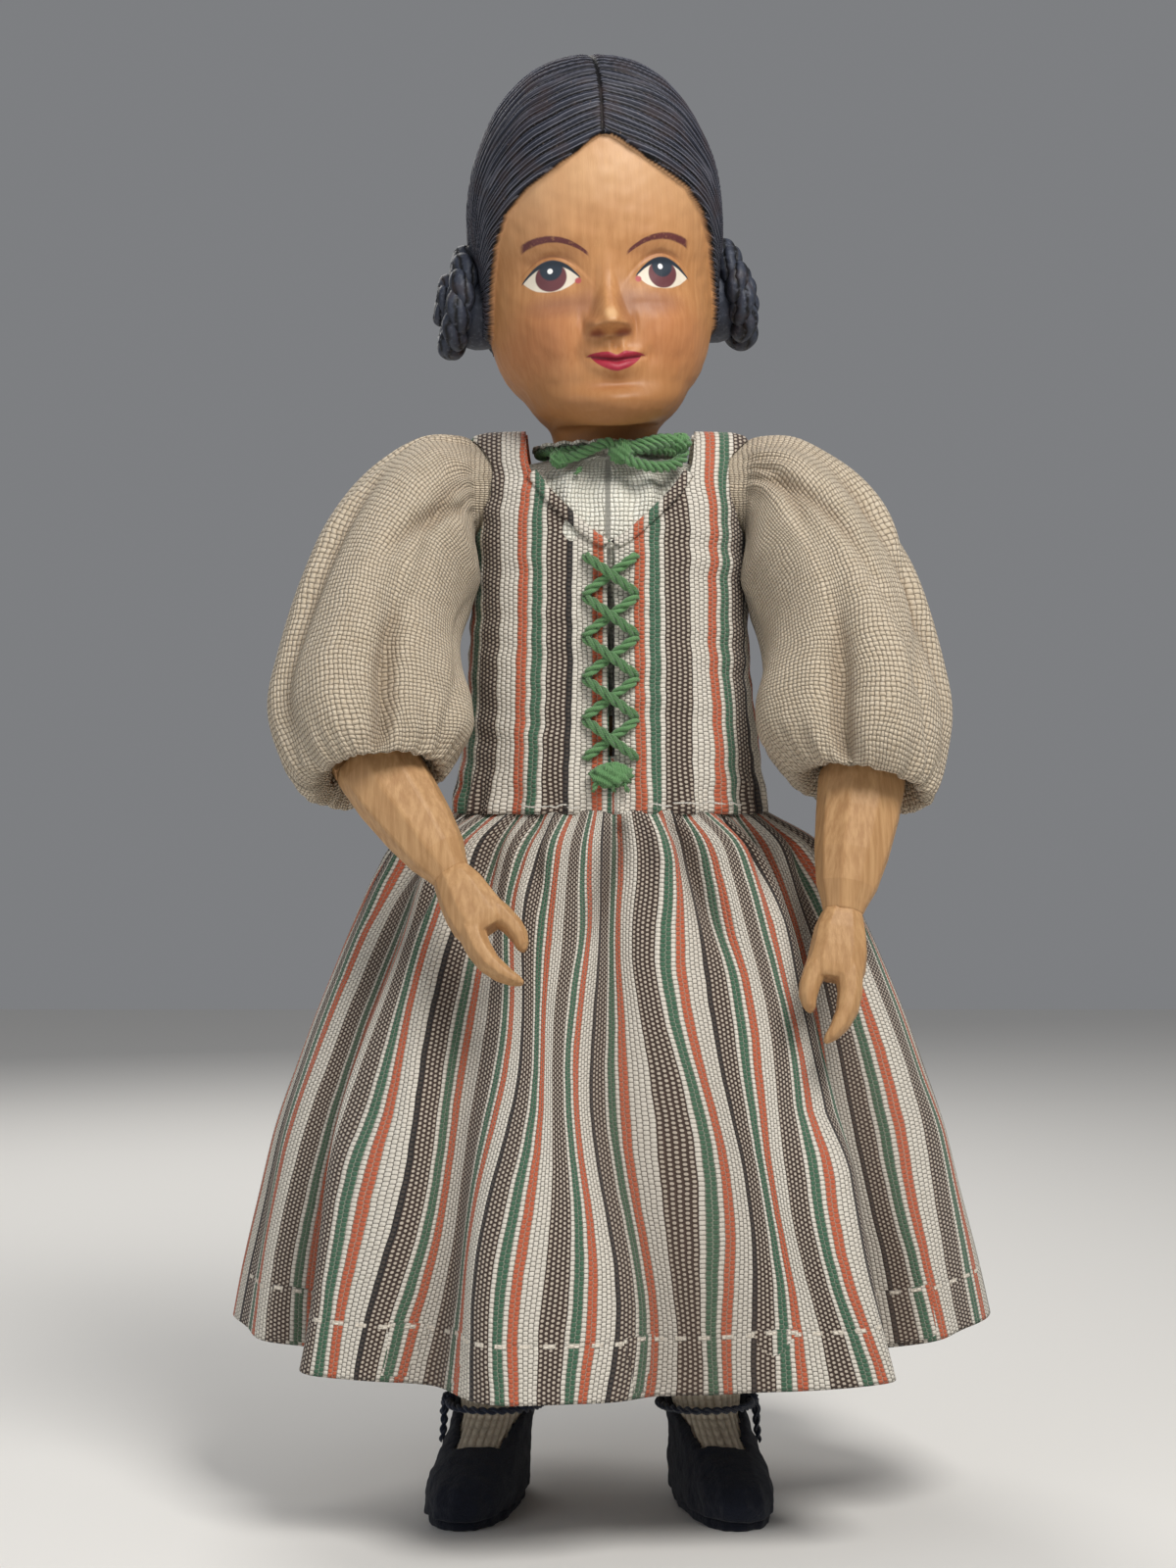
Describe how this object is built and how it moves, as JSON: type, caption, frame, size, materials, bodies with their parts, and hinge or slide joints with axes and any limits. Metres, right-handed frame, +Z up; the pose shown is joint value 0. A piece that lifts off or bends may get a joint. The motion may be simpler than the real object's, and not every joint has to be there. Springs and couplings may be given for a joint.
{
  "type": "peg wooden doll",
  "caption": "Carved wooden doll with pegged neck, shoulders, elbows, hips and knees, in a linen blouse, laced striped dress, socks and felt shoes.",
  "frame": {"origin": "on the floor, under the middle of the figure's box", "axes": "+Z up, the doll faces -Y, +X to the doll's left hand"},
  "size_m": [0.1184, 0.0921, 0.23],
  "materials": {
    "head_wood": "stained and lightly waxed, painted features and dark painted hair",
    "torso_wood": "bare turned and carved linden",
    "limb_wood": "stained, whittled in long facets",
    "dowel_wood": "bare dowel",
    "linen": "plain-woven natural linen",
    "striped_cloth": "hand-woven cloth with brown, red, green and cream stripes",
    "green_cord": "twisted cotton cord",
    "navy_cord": "twisted cotton cord",
    "sock_knit": "ribbed knit",
    "shoe_felt": "thick wool felt"
  },
  "bodies": {
    "torso": {"torso": "torso_wood", "shoulder_peg_right": "dowel_wood", "shoulder_peg_left": "dowel_wood", "hip_dowel": "dowel_wood", "neck_dowel": "dowel_wood", "blouse": "linen", "bodice": "striped_cloth", "bodice_lace": "green_cord", "skirt": "striped_cloth", "neck_tie": "green_cord"},
    "head": {"head": "head_wood"},
    "upper_arm_right": {"upper_arm_right": "limb_wood", "elbow_pin_right": "dowel_wood", "sleeve_right": "linen"},
    "forearm_right": {"forearm_right": "limb_wood"},
    "thigh_right": {"thigh_right": "limb_wood", "knee_pin_right": "dowel_wood"},
    "lower_leg_right": {"lower_leg_right": "limb_wood", "sock_right": "sock_knit", "shoe_right": "shoe_felt", "shoe_sole_right": "shoe_felt", "ankle_cord_right": "navy_cord"},
    "upper_arm_left": {"upper_arm_left": "limb_wood", "elbow_pin_left": "dowel_wood", "sleeve_left": "linen"},
    "forearm_left": {"forearm_left": "limb_wood"},
    "thigh_left": {"thigh_left": "limb_wood", "knee_pin_left": "dowel_wood"},
    "lower_leg_left": {"lower_leg_left": "limb_wood", "sock_left": "sock_knit", "shoe_left": "shoe_felt", "shoe_sole_left": "shoe_felt", "ankle_cord_left": "navy_cord"}
  },
  "joints": [
    {"name": "neck_turn", "type": "hinge", "parent": "torso", "child": "head", "pos_m": [0, 0, 0.1641], "axis": [0, 0, 1], "range_deg": [-42, 40]},
    {"name": "shoulder_right_swing", "type": "hinge", "parent": "torso", "child": "upper_arm_right", "pos_m": [-0.0243, 0, 0.16], "axis": [-1, 0, 0], "range_deg": [0, 95]},
    {"name": "elbow_right_bend", "type": "hinge", "parent": "upper_arm_right", "child": "forearm_right", "pos_m": [-0.0403, -0.01643, 0.12309], "axis": [0, 0.9135, -0.4067], "range_deg": [-28, 58], "deforming": ["sleeve_right"]},
    {"name": "hip_right_swing", "type": "hinge", "parent": "torso", "child": "thigh_right", "pos_m": [-0.0106, 0, 0.098], "axis": [-1, 0, 0], "range_deg": [-20, 18]},
    {"name": "knee_right_bend", "type": "hinge", "parent": "thigh_right", "child": "lower_leg_right", "pos_m": [-0.01483, 0, 0.052], "axis": [1, 0, 0], "range_deg": [0, 50]},
    {"name": "shoulder_left_swing", "type": "hinge", "parent": "torso", "child": "upper_arm_left", "pos_m": [0.0243, 0, 0.16], "axis": [-1, 0, 0], "range_deg": [0, 95]},
    {"name": "elbow_left_bend", "type": "hinge", "parent": "upper_arm_left", "child": "forearm_left", "pos_m": [0.0403, -0.01382, 0.12204], "axis": [0, 0.9397, -0.342], "range_deg": [-25, 34], "deforming": ["sleeve_left"]},
    {"name": "hip_left_swing", "type": "hinge", "parent": "torso", "child": "thigh_left", "pos_m": [0.0106, 0, 0.098], "axis": [-1, 0, 0], "range_deg": [-20, 18]},
    {"name": "knee_left_bend", "type": "hinge", "parent": "thigh_left", "child": "lower_leg_left", "pos_m": [0.01314, 0, 0.052], "axis": [1, 0, 0], "range_deg": [0, 50]}
  ]
}
